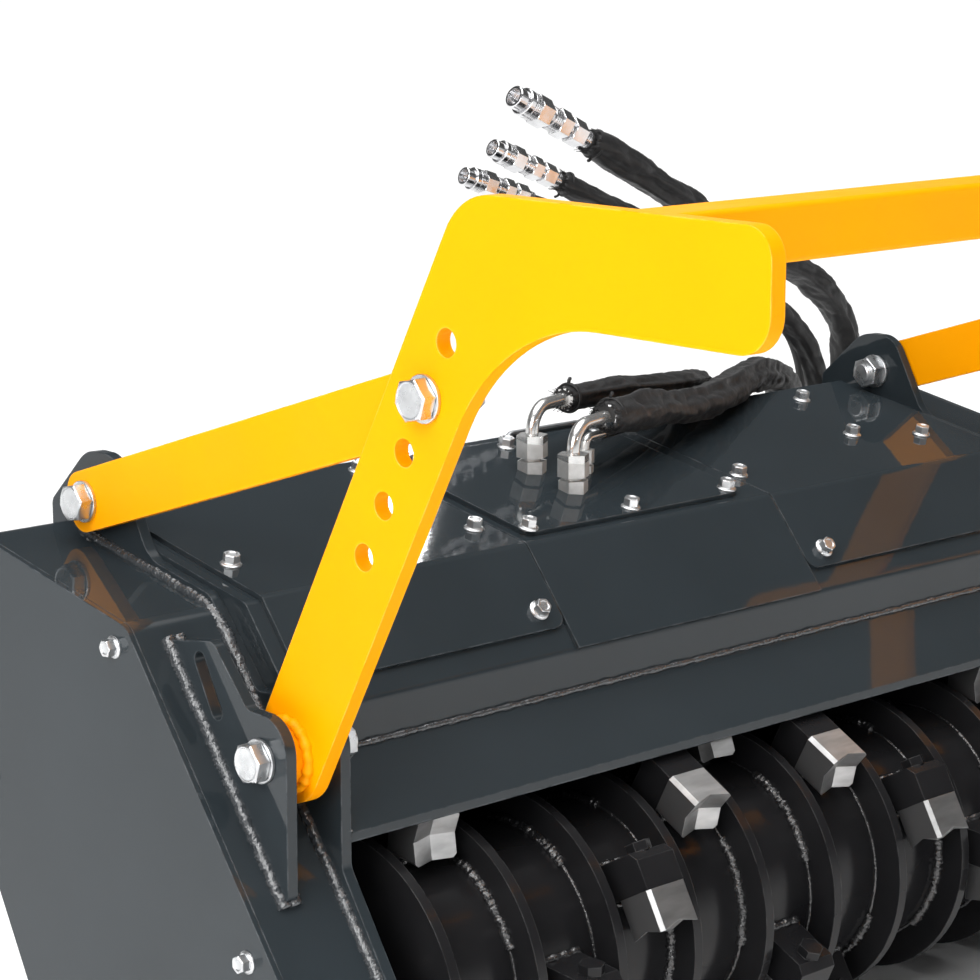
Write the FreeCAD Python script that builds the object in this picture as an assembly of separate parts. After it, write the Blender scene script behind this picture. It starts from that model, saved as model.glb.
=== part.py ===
import FreeCAD, Part
import math
import os

# Forestry mulcher head for a compact loader, in millimetres.
# X runs across the machine (left is -X), Y points to the rear, where the loader is, and Z is up.
# Outlines are drawn from the push arm's lower pivot bolt and moved to the floor's frame at the end.

# Height of the pivot bolt over the floor
PIVOT_HEIGHT = 500.0

# Plates of the housing
INNER_WIDTH = 1217.0        # between the two side plates
SIDE_T = 12.0               # side plate
COVER_T = 6.0               # drive cover
BOX_WIDTH = 102.0           # drive box, out from the side plate
BOX_WALL = 8.0
LUG_T = 12.0
LUG_GAP = 56.0              # from the side plate to the outer lug, room for the arm and its bush
LUG_R = 36.0                # round corner of the lug and the side plate at the pivot
LUG_SLOT_Y, LUG_SLOT_Z = 83.0, 56.0
LUG_SLOT_LENGTH, LUG_SLOT_WIDTH = 70.0, 18.0
LUG_SLOT_LEAN = 60.5        # degrees up from level
ARM_T = 16.0
BRACE_T = 16.0
WASHER_T = 4.0

# Hood
TOP_SLOPE = 10.2            # the hood falls this much to the front, degrees
FRONT_SLOPE = 40.0          # the front flange leans this much from upright, degrees
BEND_Y, BEND_Z = 126.0, 120.5
BEND_R = 12.0
PANEL_T = 5.0
FRAME_T = 8.0
PANEL_FLANGE = 102.0        # length of a panel below the bend
FRAME_FLANGE = 130.0
PANEL_REAR_Y = 405.0
PANEL_CORNER = 15.0         # round lower corners of the two outer panels
END_PLATE_T, END_PLATE_DEPTH = 10.0, 60.0   # closes the hood's frame at each side plate
END_PLATE_CLEAR = 20.0      # from it to the rear wall
PANEL_MARGIN = 18.5         # from the side plate to the outer panel
SEAM_LEFT, SEAM_RIGHT = -234.0, 152.0
SEAM_GAP = 1.5
SEAM_Y, SEAM_Z = 50.0, -27.0
LIP_Y, LIP_Z = -33.0, -82.0
HATCH_X, HATCH_WIDTH = -221.0, 339.0
HATCH_UP, HATCH_LENGTH = 12.0, 248.0    # measured up the slope from the bend
HATCH_T = 6.0
HATCH_R = 20.0
REAR_WALL_Y = 402.0
REAR_WALL_T = 10.0
REAR_FOOT_Z = -470.0        # lower edge of the rear wall and of the hood over the drum

# Drum
DRUM_Y, DRUM_Z = 40.0, -280.0
DRUM_R = 130.0
DRUM_WALL = 15.0
DISC_R = 166.0
DISC_T = 12.0
DISC_COUNT = 11
END_GAP = 56.0              # from the side plate to the drum's end disc
SHAFT_R = 35.0
SHAFT_END = 8.0             # the shaft stands out of the side plate
RUN_CLEARANCE = 0.05        # radial, shaft in its bearing
ROTOR_HOOD_T = 10.0
BEARING_R = 75.0
BEARING_FLANGE_R, BEARING_FLANGE_T = 95.0, 18.0

# Teeth: one square crowned cutter with four tips, bolted to the front of each holder
TEETH_ROUND = 3
TOOTH_STEP = 33.0           # turn from one gap to the next, degrees
APEX_ANGLE = 96.0           # of the first tooth in the apex gap, up from the front
APEX_GAP = 4
TOOTH_WIDTH, TOOTH_HEIGHT = 54.0, 50.0
TOOTH_LENGTH = 45.0         # from the holder to the tips
TOOTH_OUT = 195.0           # radius of the cutter's outer face
TOOTH_SEAT = 5.0            # the holder's face in front of the drum's radius
NOTCH_DEPTH = 13.5          # of the V in each side, down from the tips
SCOOP_DEPTH = 22.8          # of the hollow in the middle
TOOTH_CHAMFER = 4.0
HOLDER_WIDTH = 52.0
HOLDER_OUT = 193.0
HOLDER_LENGTH = 41.0
HOLDER_CHAMFER = 9.0
TOOTH_BOLT_R = 173.0        # radius of the bolt's axis round the drum
TOOTH_BOLT_AF, TOOTH_BOLT_HEAD = 24.0, 10.0

# Push arm, brace and bar
ARM_HALF = 48.0
ARM_LEAN = 28.8             # from upright, degrees
HOLE_R = 13.0
HOLE_FIRST = 243.0          # from the pivot to the first adjusting hole
HOLE_PITCH = 60.0
HOLE_COUNT = 5
BRACE_HOLE = 3              # the brace is bolted to this hole
HOOK_TOP, HOOK_BOTTOM = 555.0, 453.0
HOOK_NOSE_Y = -610.0
HOOK_INNER_R = 200.0        # round corner under the hook
EAR_Y, EAR_Z = 361.0, 187.0
BRACE_WIDTH = 64.0
BRACE_END = 30.0
BRACE_CORNER = 24.0
BAR_Y0, BAR_Y1 = -497.0, -445.0
BAR_HEIGHT = 50.0
BAR_WALL = 6.0
BUSH_R = 31.0

# M24 bolt
BOLT_R = 12.0
BOLT_AF = 36.0
HEAD_H = 15.0
NUT_H = 19.0
NUT_END = 6.0               # the thread stands out of the nut
WASHER_R = 22.0

# Rear lower edge of the side plates
REAR_CORNER_Y = 266.0
REAR_BEND_Z = -157.0

# Loader plate
LOADER_Y = 454.0
LOADER_T = 10.0
LOADER_HALF = 575.0
LOADER_TOP, LOADER_BOTTOM = 110.0, -280.0
LIP_REACH = 32.0            # the top lip hangs over the loader's own plate
LEDGE_REACH = 46.0          # the lower ledge with the slots for the loader's lock pins
LEDGE_SLOPE = 30.0
GUSSET_T = 12.0
GUSSET_INSET = 35.0         # from the plate's end to the gusset
PIN_HALF_SPACING = 408.0
PIN_SLOT_X, PIN_SLOT_Y = 62.0, 22.0
PIN_SLOT_SETBACK = 12.0     # from the plate's face

# Motor, a plain block behind the drum and under the hatch
MOTOR_Y, MOTOR_Z, MOTOR_R = 265.0, 10.0, 85.0
MOTOR_X0, MOTOR_X1 = -150.0, 70.0
MOTOR_FOOT_WIDTH, MOTOR_FOOT_HEIGHT = 200.0, 100.0

# Ports on the hatch: x, y, height of the outlet, reach of the elbow, its turn from +X in degrees, tube's radius
PORTS = [
    (-78.0, 218.0, 216.0, 74.2, 17.0, 7.5),
    (-78.0, 287.0, 229.0, 67.4, 15.3, 7.5),
    (-20.0, 260.0, 190.0, 38.2, 11.9, 5.0),
]
PORT_HEX_AF, PORT_HEX_H = 30.0, 12.0
PORT_STEM_R, PORT_STEM_H = 10.0, 4.0
PORT_NUT_H = 26.0
PORT_BASE = 8.0             # the lowest hex starts this far below the hood's face at the port
ELBOW_R = 30.0
SMALL_PORT = 0.62           # the third port is this size of the others

# Hoses: routes from the elbow to the coupler, each followed by the hose's diameter
FRONT_HOSE_D, REAR_HOSE_D, DRAIN_HOSE_D = 26.0, 21.0, 14.0
FRONT_ROUTE = [
    (-6, 240, 216), (76, 265, 211), (207, 312, 195), (327, 362, 192), (433, 424, 197), (520, 476, 188),
    (576, 516, 152), (606, 550, 94), (622, 574, 26), (660, 590, -34), (722, 611, -67), (792, 635, -66),
    (852, 656, -30), (892, 670, 31), (903, 674, 103), (882, 670, 174), (796, 668, 262), (672, 666, 320),
    (544, 664, 394), (463, 661, 440), (362, 660, 488),
]
REAR_ROUTE = [
    (-12, 305, 229), (66, 326, 225), (156, 348, 217), (266, 380, 206), (338, 428, 196), (396, 480, 172),
    (440, 522, 124), (465, 540, 56), (494, 543, 4), (542, 544, -26), (598, 547, -31), (651, 549, -10),
    (688, 551, 31), (704, 552, 84), (695, 552, 139), (642, 552, 225), (559, 562, 279), (459, 580, 343),
    (353, 598, 403), (257, 604, 445),
]
DRAIN_ROUTE = [
    (18, 268, 190), (84, 290, 189), (160, 320, 186), (230, 358, 188), (290, 410, 186), (344, 470, 164),
    (386, 528, 112), (420, 572, 48), (472, 602, -26), (534, 613, -80), (604, 621, -104), (672, 630, -98),
    (731, 638, -63), (768, 643, -5), (782, 646, 64), (786, 649, 132), (762, 654, 192), (715, 657, 228),
    (645, 662, 264), (549, 668, 317), (442, 678, 360), (367, 686, 387), (291, 692, 412),
]
# Coupler on a hose's far end: shape, width over it, length
COUPLER = [
    ("round", 24, 14), ("hex", 32, 26), ("round", 26, 5), ("hex", 34, 34), ("round", 30, 6),
    ("hex", 36, 24), ("round", 38, 22), ("round", 30, 20),
]
SMALL_COUPLER = 0.8         # size of the other two couplers

SEAT = 0.3                  # gap left where a curved face is welded to its neighbour

FLOOR = -PIVOT_HEIGHT
SKID_T = 12.0
SKID_TOP = -330.0
SKID_REAR_Y = REAR_CORNER_Y
BOX_BOTTOM = FLOOR + SKID_T
NOSE_Y = -180.0             # front of the drive box
NOSE_R = 120.0
BOX_SLOPE = 38.6            # front of the drive box, degrees from upright
BOX_BEND_Y, BOX_BEND_Z = 163.0, 106.0

SIDE_IN = INNER_WIDTH / 2
SIDE_OUT = SIDE_IN + SIDE_T
BOX_OUT = SIDE_OUT + BOX_WIDTH
COVER_OUT = BOX_OUT + COVER_T
LUG_IN = SIDE_OUT + LUG_GAP
LUG_OUT = LUG_IN + LUG_T
BOX_REAR_Y, BOX_REAR_Z0 = LOADER_Y, REAR_BEND_Z
BOX_REAR_Z1 = BOX_BEND_Z + (BOX_REAR_Y - BOX_BEND_Y) * math.tan(math.radians(TOP_SLOPE))
BRACE_IN = SIDE_OUT + WASHER_T
BRACE_OUT = BRACE_IN + BRACE_T
ARM_IN = BRACE_OUT
ARM_OUT = ARM_IN + ARM_T
PANEL_HALF = SIDE_IN - PANEL_MARGIN
DISC_PITCH = (INNER_WIDTH - 2 * END_GAP - DISC_T) / (DISC_COUNT - 1)
DRUM_HALF = INNER_WIDTH / 2 - END_GAP
ROTOR_HOOD_R = math.hypot(SEAM_Y - DRUM_Y, SEAM_Z - DRUM_Z)
CUT = 1.0                   # a cutting tool stands this far out of what it cuts


def vec(x, y, z):
    return FreeCAD.Vector(x, y, z)


def sin(a):
    return math.sin(math.radians(a))


def cos(a):
    return math.cos(math.radians(a))


def tan(a):
    return math.tan(math.radians(a))


def corner_runs(points, closed):
    """How far each rounded corner reaches along its two edges, kept within the edges' lengths."""
    n = len(points)
    places = [vec(0, y, z) for y, z, r in points]
    runs = []
    for i, (y, z, r) in enumerate(points):
        if r == 0 or (not closed and i in (0, n - 1)):
            runs.append(0)
            continue
        a = places[i - 1] - places[i]
        b = places[(i + 1) % n] - places[i]
        runs.append(r / math.tan(a.getAngle(b) / 2))
    scale = [1.0] * n
    for i in range(n if closed else n - 1):
        j = (i + 1) % n
        edge = (places[j] - places[i]).Length
        if runs[i] + runs[j] > edge:
            fit = edge / (runs[i] + runs[j])
            scale[i] = min(scale[i], fit)
            scale[j] = min(scale[j], fit)
    return [run * s for run, s in zip(runs, scale)]


def corner_arc(before, here, after, run):
    """The arc that rounds a corner, with its two ends."""
    a = (before - here).normalize()
    b = (after - here).normalize()
    half = a.getAngle(b) / 2
    r = run * math.tan(half)
    start, end = here + a * run, here + b * run
    middle = here + (a + b).normalize() * (r / math.sin(half) - r)
    return start, end, Part.Arc(start, middle, end).toShape()


def path_edges(places, runs, closed):
    """Lines and tangent arcs through the places, each corner rounded over its run."""
    n = len(places)
    starts, ends, arcs = [], [], []
    for i, here in enumerate(places):
        if runs[i] == 0:
            starts.append(here)
            ends.append(here)
            arcs.append(None)
            continue
        start, end, arc = corner_arc(places[i - 1], here, places[(i + 1) % n], runs[i])
        starts.append(start)
        ends.append(end)
        arcs.append(arc)
    edges = []
    for i in range(n):
        if arcs[i]:
            edges.append(arcs[i])
        j = (i + 1) % n
        if j == 0 and not closed:
            break
        if (starts[j] - ends[i]).Length > 1e-6:
            edges.append(Part.LineSegment(ends[i], starts[j]).toShape())
    return edges


def plate(points, x0, x1):
    """A flat plate from x0 to x1 with an outline of (y, z, corner radius) rows."""
    places = [vec(0, y, z) for y, z, r in points]
    edges = path_edges(places, corner_runs(points, True), True)
    face = Part.Face(Part.Wire(Part.__sortEdges__(edges)))
    face.translate(vec(x0, 0, 0))
    return face.extrude(vec(x1 - x0, 0, 0))


def offset_path(points, d):
    """The open path moved sideways by d, to the right of its direction, with mitred corners."""
    moved = []
    n = len(points)
    for i, (y, z, r) in enumerate(points):
        dirs = []
        if i > 0:
            dirs.append(vec(0, y - points[i - 1][0], z - points[i - 1][1]).normalize())
        if i < n - 1:
            dirs.append(vec(0, points[i + 1][0] - y, points[i + 1][1] - z).normalize())
        normals = [vec(0, u.z, -u.y) for u in dirs]
        m = normals[0] if len(normals) == 1 else (normals[0] + normals[1]).normalize()
        scale = d / m.dot(normals[0])
        turn = 0
        if len(dirs) == 2:
            turn = dirs[0].y * dirs[1].z - dirs[0].z * dirs[1].y
        # Right of the path is the outside of a left turn
        radius = r + d if turn > 0 else r - d
        moved.append((y + m.y * scale, z + m.z * scale, max(radius, 0) if r else 0))
    return moved


def offset_ring(points, d):
    """A closed outline, listed clockwise as seen from the left, moved inwards by d."""
    n = len(points)
    rows = []
    for i in range(n):
        three = [points[i - 1], points[i], points[(i + 1) % n]]
        rows.append(offset_path(three, -d)[1])
    return rows


def bent_sheet(points, thickness, x0, x1):
    """A sheet that follows an open path in YZ, its thickness to the right of the path."""
    return plate(list(points) + offset_path(points, thickness)[::-1], x0, x1)


def rod(y, z, r, x0, x1):
    return Part.makeCylinder(r, x1 - x0, vec(x0, y, z), vec(1, 0, 0))


def ring(y, z, r, hole_r, x0, x1):
    return rod(y, z, r, x0, x1).cut(rod(y, z, hole_r, x0 - CUT, x1 + CUT))


def hexagon(y, z, across_flats, x0, x1, turn=0):
    r = across_flats / 2 / cos(30)
    corners = [(y + r * cos(60 * i + turn), z + r * sin(60 * i + turn), 0) for i in range(6)]
    return plate(corners, x0, x1)


def fuse(first, *others):
    return first.fuse(list(others)).removeSplitter()


def mirrored(shape):
    return shape.mirror(vec(0, 0, 0), vec(1, 0, 0))


def moved(shape, x, y, z):
    placed = shape.copy()
    placed.translate(vec(x, y, z))
    return placed


def stack(place, direction, rows, size=1.0):
    """Round and hexagonal pieces one after the other along a direction."""
    pieces = []
    run = 0
    for kind, width, length in rows:
        if kind == "hex":
            piece = hexagon(0, 0, width, run, run + length)
        else:
            piece = rod(0, 0, width / 2, run, run + length)
        run += length
        pieces.append(piece)
    shape = fuse(pieces[0], *pieces[1:])
    shape = shape.scaled(size)
    shape.Placement = FreeCAD.Placement(place, FreeCAD.Rotation(vec(1, 0, 0), direction))
    return shape


def bolt(y, z, x_in, x_out, spacer=None):
    """A through bolt: head and washer outside x_out, washer and nut inside x_in."""
    nut_in = x_in - WASHER_T - NUT_H
    parts = [
        rod(y, z, WASHER_R, x_out, x_out + WASHER_T),
        hexagon(y, z, BOLT_AF, x_out + WASHER_T, x_out + WASHER_T + HEAD_H, 12),
        rod(y, z, WASHER_R, x_in - WASHER_T, x_in),
        hexagon(y, z, BOLT_AF, nut_in, x_in - WASHER_T, 20),
    ]
    if spacer:
        parts.append(rod(y, z, WASHER_R, *spacer))
    shank = rod(y, z, BOLT_R, nut_in - NUT_END, x_out + WASHER_T)
    return fuse(shank, *parts)


def on_hood(shape):
    """Moves a shape drawn level, Y up the slope from the hood's bend and Z out, onto the hood."""
    placed = shape.copy()
    placed.rotate(vec(0, 0, 0), vec(1, 0, 0), TOP_SLOPE)
    placed.translate(vec(0, BEND_Y, BEND_Z))
    return placed


def hood_level(y):
    """Height of the panels' outer face at y."""
    return BEND_Z + (y - BEND_Y) * tan(TOP_SLOPE)


def hood_path(y_rear, flange):
    """The hood's outer line from the flange's lower edge over the bend to the rear edge."""
    return [
        (BEND_Y - flange * sin(FRONT_SLOPE), BEND_Z - flange * cos(FRONT_SLOPE), 0),
        (BEND_Y, BEND_Z, BEND_R),
        (y_rear, hood_level(y_rear), 0),
    ]


def box_front(z):
    """Y of the drive box's sloping front at a height."""
    return BOX_BEND_Y - (BOX_BEND_Z - z) * tan(BOX_SLOPE)


# Drive box outline: y, z, corner radius
BOX_OUTLINE = [
    (BOX_BEND_Y, BOX_BEND_Z, 25),
    (NOSE_Y, BOX_BEND_Z - (BOX_BEND_Y - NOSE_Y) / tan(BOX_SLOPE), 60),
    (NOSE_Y, BOX_BOTTOM, NOSE_R),
    (SKID_REAR_Y, BOX_BOTTOM, 30),
    (BOX_REAR_Y, BOX_REAR_Z0, 40),
    (BOX_REAR_Y, BOX_REAR_Z1, 30),
]

# Side plate outline: y, z, corner radius
SIDE_OUTLINE = [
    (EAR_Y - 83, EAR_Z - 49.5, 40),
    (173, 119, 25),
    (96, 35, 12),
    (70, LUG_R + 2, 8),
    (-LUG_R + 1, LUG_R + 2, LUG_R - 2),
    (-LUG_R + 1, -115, 20),
    (NOSE_Y - 10, -339, 60),
    (NOSE_Y - 10, BOX_BOTTOM, NOSE_R - 10),
    (REAR_CORNER_Y, BOX_BOTTOM, 30),
    (LOADER_Y, REAR_BEND_Z, 40),
    (LOADER_Y, EAR_Z - 15, 12),
    (EAR_Y + 24, EAR_Z + 49, 45),
    (EAR_Y - 29, EAR_Z + 49, 35),
]

# Lug outline: y, z, corner radius. Its two ends lie on the drive box's sloping front
LUG_OUTLINE = [
    (box_front(88.6), 88.6, 0),
    (75, 102, 14),
    (21, LUG_R + 9, 14),
    (-LUG_R - 3, LUG_R + 9, LUG_R),
    (-LUG_R - 2, -128, 6),
    (box_front(-137), -137, 0),
]


def side_plate():
    shape = plate(SIDE_OUTLINE, SIDE_IN, SIDE_OUT)
    for y, z, r in ((0, 0, HOLE_R), (EAR_Y, EAR_Z, HOLE_R), (DRUM_Y, DRUM_Z, BEARING_R)):
        shape = shape.cut(rod(y, z, r, SIDE_IN - CUT, SIDE_OUT + CUT))
    return shape


def drive_box():
    outer = plate(BOX_OUTLINE, SIDE_OUT, BOX_OUT)
    inner = plate(offset_ring(BOX_OUTLINE, BOX_WALL), SIDE_OUT - CUT, BOX_OUT + CUT)
    return outer.cut(inner)


def drive_cover():
    return plate(BOX_OUTLINE, BOX_OUT, COVER_OUT)


def lug():
    shape = plate(LUG_OUTLINE, LUG_IN, LUG_OUT)
    x0, x1 = LUG_IN - CUT, LUG_OUT + CUT
    half = (LUG_SLOT_LENGTH - LUG_SLOT_WIDTH) / 2
    slot = Part.makeBox(x1 - x0, 2 * half, LUG_SLOT_WIDTH, vec(x0, -half, -LUG_SLOT_WIDTH / 2))
    slot = fuse(slot, rod(-half, 0, LUG_SLOT_WIDTH / 2, x0, x1), rod(half, 0, LUG_SLOT_WIDTH / 2, x0, x1))
    slot.rotate(vec(0, 0, 0), vec(1, 0, 0), LUG_SLOT_LEAN)
    slot.translate(vec(0, LUG_SLOT_Y, LUG_SLOT_Z))
    return shape.cut(slot).cut(rod(0, 0, HOLE_R, x0, x1))


def along_arm(s, d=0):
    """A point at s up the push arm's centreline, d to its rear."""
    return -s * sin(ARM_LEAN) + d * cos(ARM_LEAN), s * cos(ARM_LEAN) + d * sin(ARM_LEAN)


def arm_level(z, d):
    """Where the arm's edge at offset d reaches the height z."""
    s = (z - d * sin(ARM_LEAN)) / cos(ARM_LEAN)
    return along_arm(s, d)[0], z


def push_arm():
    outline = [
        (*along_arm(-ARM_HALF, ARM_HALF), ARM_HALF - 0.1),
        (*arm_level(HOOK_TOP, ARM_HALF), 66),
        (HOOK_NOSE_Y, HOOK_TOP, 27),
        (HOOK_NOSE_Y, HOOK_BOTTOM, 33),
        (*arm_level(HOOK_BOTTOM, -ARM_HALF), HOOK_INNER_R),
        (*along_arm(-ARM_HALF, -ARM_HALF), ARM_HALF - 0.1),
    ]
    shape = plate(outline, ARM_IN, ARM_OUT)
    bush = rod(0, 0, BUSH_R, SIDE_OUT, LUG_IN)
    shape = fuse(shape, bush)
    shape = shape.cut(rod(0, 0, HOLE_R, SIDE_OUT - CUT, LUG_IN + CUT))
    for i in range(HOLE_COUNT):
        y, z = along_arm(HOLE_FIRST + i * HOLE_PITCH)
        shape = shape.cut(rod(y, z, HOLE_R, ARM_IN - CUT, ARM_OUT + CUT))
    return shape


def brace_bolt_place():
    return along_arm(HOLE_FIRST + BRACE_HOLE * HOLE_PITCH)


def brace():
    y, z = brace_bolt_place()
    u = vec(0, y - EAR_Y, z - EAR_Z)
    length = u.Length
    half = BRACE_WIDTH / 2
    shape = Part.makeBox(BRACE_T, length + 2 * BRACE_END, BRACE_WIDTH, vec(BRACE_IN, -BRACE_END, -half))
    upright = [e for e in shape.Edges if abs(e.tangentAt(0).x) > 0.9]
    shape = shape.makeFillet(min(BRACE_CORNER, half - CUT), upright)
    for place in (0, length):
        shape = shape.cut(rod(place, 0, HOLE_R, BRACE_IN - CUT, BRACE_OUT + CUT))
    shape.rotate(vec(0, 0, 0), vec(1, 0, 0), math.degrees(math.atan2(u.z, u.y)))
    shape.translate(vec(0, EAR_Y, EAR_Z))
    return shape


def push_bar():
    outer = [
        (BAR_Y0, HOOK_TOP, 5),
        (BAR_Y1, HOOK_TOP, 5),
        (BAR_Y1, HOOK_TOP - BAR_HEIGHT, 5),
        (BAR_Y0, HOOK_TOP - BAR_HEIGHT, 5),
    ]
    inner = offset_ring([(y, z, 0) for y, z, r in outer][::-1], BAR_WALL)
    return plate(outer, -ARM_IN, ARM_IN).cut(plate(inner, -ARM_IN - CUT, ARM_IN + CUT))


def hood_panel(x0, x1):
    """An outer panel, its two lower corners rounded."""
    shape = bent_sheet(hood_path(PANEL_REAR_Y, PANEL_FLANGE), PANEL_T, x0, x1)
    low = shape.BoundBox.ZMin
    corners = [e for e in shape.Edges if abs(e.Length - PANEL_T) < 0.01 and e.CenterOfMass.z < low + PANEL_T]
    return shape.makeFillet(PANEL_CORNER, corners)


def centre_panel(x0, x1):
    """The panel between them runs on down to the frame's lower bend."""
    return bent_sheet(hood_path(PANEL_REAR_Y, FRAME_FLANGE), PANEL_T, x0, x1)


def hood_frame():
    """The thicker sheet under the panels. Below them it bends again and runs down to the seam."""
    path = offset_path(hood_path(PANEL_REAR_Y - PANEL_T, FRAME_FLANGE), PANEL_T)
    lower, bend, rear = path
    path = [(SEAM_Y, SEAM_Z, 0), (lower[0], lower[1], 10), (bend[0], bend[1], 10), rear]
    sheet = bent_sheet(path, FRAME_T, -SIDE_IN, SIDE_IN)
    end_rear = REAR_WALL_Y - REAR_WALL_T - END_PLATE_CLEAR
    under = offset_path(hood_path(end_rear, FRAME_FLANGE), PANEL_T + FRAME_T / 2)
    end = bent_sheet(under, END_PLATE_DEPTH, SIDE_IN - END_PLATE_T, SIDE_IN)
    return fuse(sheet, end, mirrored(end))


def deflector():
    drop = FRAME_T / cos(math.degrees(math.atan2(SEAM_Z - LIP_Z, SEAM_Y - LIP_Y)))
    outline = [
        (SEAM_Y, SEAM_Z, 0),
        (LIP_Y, LIP_Z, 0),
        (LIP_Y, LIP_Z - drop, 0),
        (SEAM_Y, SEAM_Z - drop, 0),
    ]
    return plate(outline, -SIDE_IN, SIDE_IN)


def hatch():
    shape = Part.makeBox(HATCH_WIDTH, HATCH_LENGTH, HATCH_T, vec(HATCH_X, HATCH_UP, 0))
    upright = [e for e in shape.Edges if abs(e.tangentAt(0).z) > 0.9]
    return on_hood(shape.makeFillet(HATCH_R, upright))


def rotor_hood():
    x0, width = -SIDE_IN, 2 * SIDE_IN
    tube = ring(DRUM_Y, DRUM_Z, ROTOR_HOOD_R, ROTOR_HOOD_R - ROTOR_HOOD_T, x0, x0 + width)
    reach = 2 * ROTOR_HOOD_R
    behind = [
        (SEAM_Y, REAR_FOOT_Z, 0),
        (SEAM_Y, DRUM_Z + reach, 0),
        (SEAM_Y + reach, DRUM_Z + reach, 0),
        (SEAM_Y + reach, REAR_FOOT_Z, 0),
    ]
    return tube.common(plate(behind, x0, x0 + width))


def rear_wall():
    top = hood_level(REAR_WALL_Y - REAR_WALL_T) - (PANEL_T + FRAME_T) / cos(TOP_SLOPE)
    lean = (LOADER_Y - REAR_CORNER_Y) / (REAR_BEND_Z - BOX_BOTTOM)
    foot_top = REAR_FOOT_Z + REAR_WALL_T
    foot_y = DRUM_Y + math.sqrt(ROTOR_HOOD_R ** 2 - (foot_top - DRUM_Z) ** 2) + SEAT
    path = [
        (REAR_WALL_Y, top, 0),
        (REAR_WALL_Y, REAR_BEND_Z - (LOADER_Y - REAR_WALL_Y) / lean, 40),
        (REAR_CORNER_Y + (REAR_FOOT_Z - BOX_BOTTOM) * lean, REAR_FOOT_Z, 20),
        (foot_y, REAR_FOOT_Z, 0),
    ]
    return bent_sheet(path, REAR_WALL_T, -SIDE_IN, SIDE_IN)


def loader_plate():
    face = LOADER_Y + LOADER_T
    path = [
        (face + LIP_REACH, LOADER_TOP - LIP_REACH, 0),
        (face, LOADER_TOP, 6),
        (face, LOADER_BOTTOM, 12),
        (face + LEDGE_REACH, LOADER_BOTTOM - LEDGE_REACH * tan(LEDGE_SLOPE), 0),
    ]
    shape = bent_sheet(path, LOADER_T, -LOADER_HALF, LOADER_HALF)
    depth = LEDGE_REACH + 2 * LOADER_T
    for x in (-PIN_HALF_SPACING, PIN_HALF_SPACING):
        corner = vec(x - PIN_SLOT_X / 2, face + PIN_SLOT_SETBACK, LOADER_BOTTOM - depth)
        shape = shape.cut(Part.makeBox(PIN_SLOT_X, PIN_SLOT_Y, depth + LOADER_T, corner))
    return shape


def loader_gusset(x):
    """A plate between the rear wall and the loader plate."""
    lean = (LOADER_Y - REAR_CORNER_Y) / (REAR_BEND_Z - BOX_BOTTOM)
    wall_low = REAR_BEND_Z - (LOADER_Y - REAR_WALL_Y) / lean
    outline = [
        (REAR_WALL_Y, LOADER_TOP - 2 * LOADER_T, 0),
        (LOADER_Y, LOADER_TOP - 2 * LOADER_T, 0),
        (LOADER_Y, wall_low, 0),
        (REAR_WALL_Y, wall_low + 2 * LOADER_T, 0),
    ]
    return plate(outline, x, x + GUSSET_T)


def skid_shoe():
    path = [(NOSE_Y, SKID_TOP, 0), (NOSE_Y, BOX_BOTTOM, NOSE_R), (SKID_REAR_Y, BOX_BOTTOM, 0)]
    return bent_sheet(path, SKID_T, SIDE_OUT, BOX_OUT)


def bearing_housing():
    flange = rod(DRUM_Y, DRUM_Z, BEARING_FLANGE_R, SIDE_IN - BEARING_FLANGE_T, SIDE_IN)
    boss = rod(DRUM_Y, DRUM_Z, BEARING_R, SIDE_IN - BEARING_FLANGE_T, SIDE_OUT + SHAFT_END)
    bore_r = SHAFT_R + RUN_CLEARANCE
    bore = rod(DRUM_Y, DRUM_Z, bore_r, SIDE_IN - BEARING_FLANGE_T - CUT, SIDE_OUT + SHAFT_END + CUT)
    return fuse(flange, boss).cut(bore)


def gap_centres():
    first = -(DISC_COUNT - 2) / 2
    return [(first + i) * DISC_PITCH for i in range(DISC_COUNT - 1)]


def tooth_places():
    """Rows of (x, angle): the angle is from the front, upwards."""
    rows = []
    for i, x in enumerate(gap_centres()):
        for k in range(TEETH_ROUND):
            rows.append((x, APEX_ANGLE - TOOTH_STEP * abs(i - APEX_GAP) + k * 360 / TEETH_ROUND))
    return rows


def place_on_drum(shape, x, angle):
    """A shape drawn at the drum's front, radially out to -Y, is turned up by an angle."""
    placed = shape.copy()
    placed.rotate(vec(0, 0, 0), vec(1, 0, 0), -angle)
    placed.translate(vec(x, DRUM_Y, DRUM_Z))
    return placed


def crown_hollow():
    """What is ground out of a cutter's face: four flats that slope in from the tips, down to a cone."""
    half_w, half_h = TOOTH_WIDTH / 2, TOOTH_HEIGHT / 2
    slope = NOTCH_DEPTH * math.hypot(half_w, half_h) / (2 * half_w * half_h)
    across = math.hypot(half_w, half_h)
    apex = vec(0, 0, slope * across)
    # The flats meet the tips' plane in a diamond through the four tips
    ends = [
        vec(across ** 2 / half_w, 0, 0),
        vec(0, across ** 2 / half_h, 0),
        vec(-across ** 2 / half_w, 0, 0),
        vec(0, -across ** 2 / half_h, 0),
    ]
    faces = [Part.Face(Part.makePolygon(ends + ends[:1]))]
    for i in range(4):
        corners = [ends[i], ends[(i + 1) % 4], apex]
        faces.append(Part.Face(Part.makePolygon(corners + corners[:1])))
    flats = Part.Solid(Part.Shell(faces))
    side_r = (half_w + half_h) / 2
    cone_r = side_r * SCOOP_DEPTH / (SCOOP_DEPTH - NOTCH_DEPTH)
    cone = Part.makeCone(cone_r, 0, SCOOP_DEPTH, vec(0, 0, 0), vec(0, 0, 1))
    return flats.common(cone)


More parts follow.
